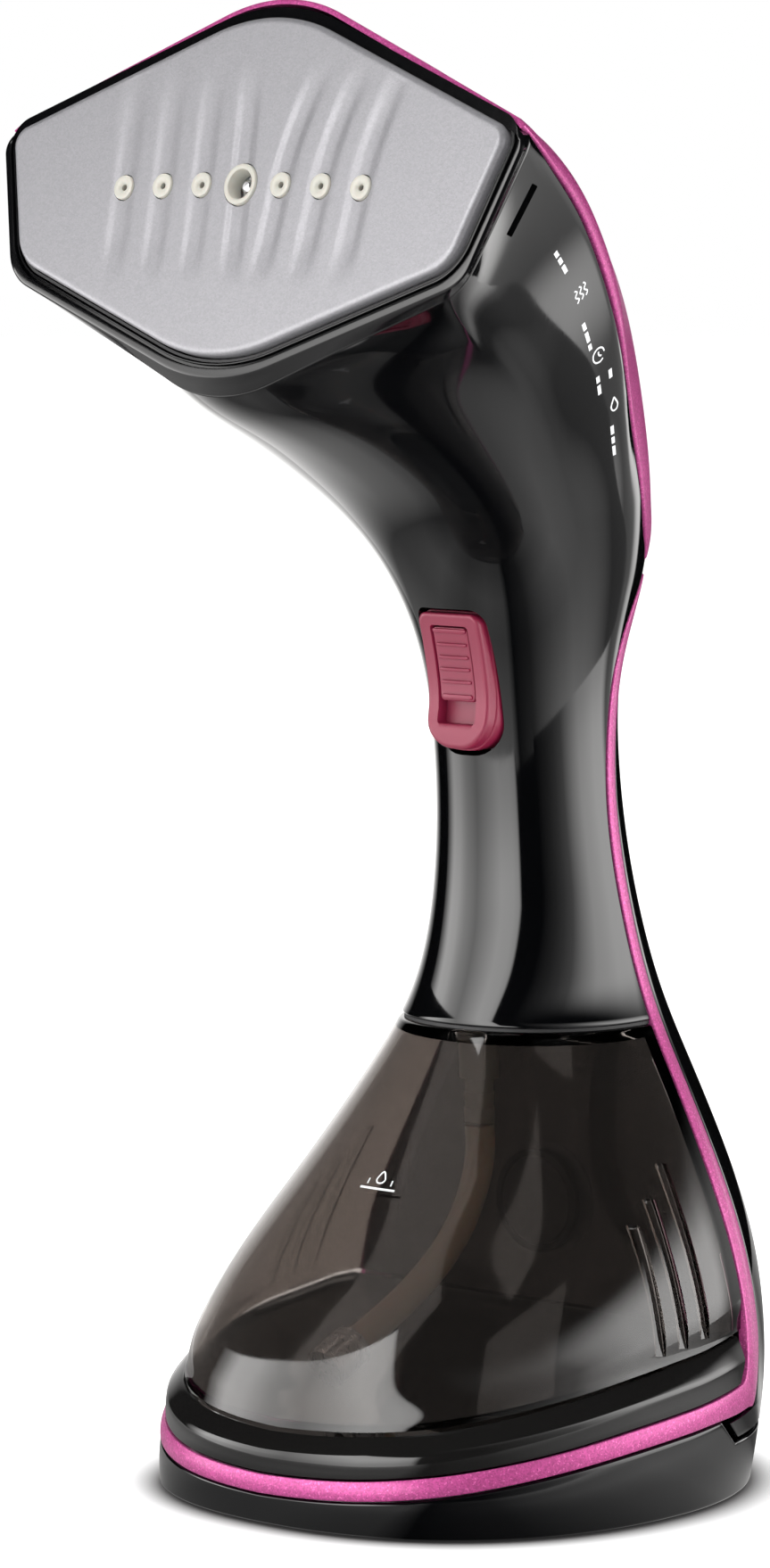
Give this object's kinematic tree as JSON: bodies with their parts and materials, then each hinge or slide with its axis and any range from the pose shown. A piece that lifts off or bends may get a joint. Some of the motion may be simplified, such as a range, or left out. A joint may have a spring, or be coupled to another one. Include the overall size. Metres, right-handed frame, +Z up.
{
  "type": "garment steamer",
  "caption": "Handheld garment steamer: broad foot and lift-out smoked water tank, slim handle with trigger, steam head leaning forward with a hexagonal plate.",
  "frame": {"origin": "centre of the bounding box's footprint, on the surface the foot stands on", "axes": "+Z up, -Y towards the steam plate and the tank (front), +X to the right of someone looking at the back; the body is mirrored about X = 0"},
  "size_m": [0.1344, 0.1412, 0.2904],
  "materials": {
    "gloss_black": "piano-black gloss moulding",
    "magenta_metal": "magenta metallic flake paint under clear lacquer",
    "magenta_plastic": "satin magenta-red moulding",
    "smoked_plastic": "smoked transparent moulding",
    "plate_silver": "fine-grained silver coating",
    "nozzle_ivory": "ivory heat-proof moulding",
    "black_rubber": "matt black rubber",
    "clear_silicone": "milky silicone tube",
    "inner_plastic": "unpolished dark moulding",
    "cast_aluminium": "as-cast aluminium",
    "steel": "plain steel",
    "board_green": "green board lacquer"
  },
  "bodies": {
    "main_body": {"front_shell": "gloss_black", "rear_shell": "gloss_black", "foot_shell": "gloss_black", "head_bezel": "gloss_black", "top_cover": "magenta_metal", "trim_strip": "magenta_metal", "soleplate": "plate_silver", "nozzle_center": "nozzle_ivory", "nozzle_1": "nozzle_ivory", "nozzle_2": "nozzle_ivory", "nozzle_3": "nozzle_ivory", "nozzle_4": "nozzle_ivory", "nozzle_5": "nozzle_ivory", "nozzle_6": "nozzle_ivory", "soleplate_gasket": "black_rubber", "foot_pad_1": "black_rubber", "foot_pad_2": "black_rubber", "foot_pad_3": "black_rubber", "foot_pad_4": "black_rubber", "outlet_seal": "black_rubber", "cord_gland": "black_rubber", "pump_hose_low": "clear_silicone", "pump_hose_high": "clear_silicone", "base_plate": "inner_plastic", "tank_deck": "inner_plastic", "dock_wall": "inner_plastic", "dock_ceiling": "inner_plastic", "water_pump": "inner_plastic", "trigger_switch": "inner_plastic", "thermal_fuse": "inner_plastic", "steam_chamber": "cast_aluminium", "chamber_lid": "steel", "thermostat": "steel", "heater_terminal_left": "steel", "heater_terminal_right": "steel", "steam_inlet": "steel", "trigger_pin": "steel", "trigger_spring": "steel", "base_screw_1": "steel", "base_screw_2": "steel", "base_screw_3": "steel", "base_screw_4": "steel", "control_board": "board_green"},
    "tank": {"tank_shell": "smoked_plastic", "tank_base": "smoked_plastic", "tank_outlet": "nozzle_ivory", "tank_hose": "clear_silicone", "hose_weight": "steel"},
    "cap": {"filler_cap": "inner_plastic", "cap_seal": "black_rubber"},
    "trigger": {"trigger": "magenta_plastic"},
    "lock": {"trigger_lock": "magenta_plastic"},
    "plunger": {"switch_plunger": "nozzle_ivory"}
  },
  "joints": [
    {"name": "trigger_press", "type": "hinge", "parent": "main_body", "child": "trigger", "pos_m": [0, 0.00529, 0.1693], "axis": [1, 0, 0], "range_deg": [0, 5], "stiffness_Nm_per_rad": 0.6, "springref_deg": -1.72},
    {"name": "lock_slide", "type": "slide", "parent": "trigger", "child": "lock", "axis": [0, 0.2356, -0.9719], "range_m": [0, 0.0041]},
    {"name": "plunger_press", "type": "slide", "parent": "main_body", "child": "plunger", "axis": [0, 1, 0], "range_m": [0, 0.0017]},
    {"name": "tank_slide", "type": "slide", "parent": "main_body", "child": "tank", "axis": [0, -0.9976, -0.0698], "range_m": [0, 0.09]},
    {"name": "cap_turn", "type": "hinge", "parent": "tank", "child": "cap", "pos_m": [0, 0.02819, 0.052], "axis": [0, 1, 0], "range_deg": [0, 90]}
  ],
  "couplings": [
    {"joint": "plunger_press", "follows": "trigger_press", "m_per_rad": 0.0187}
  ]
}
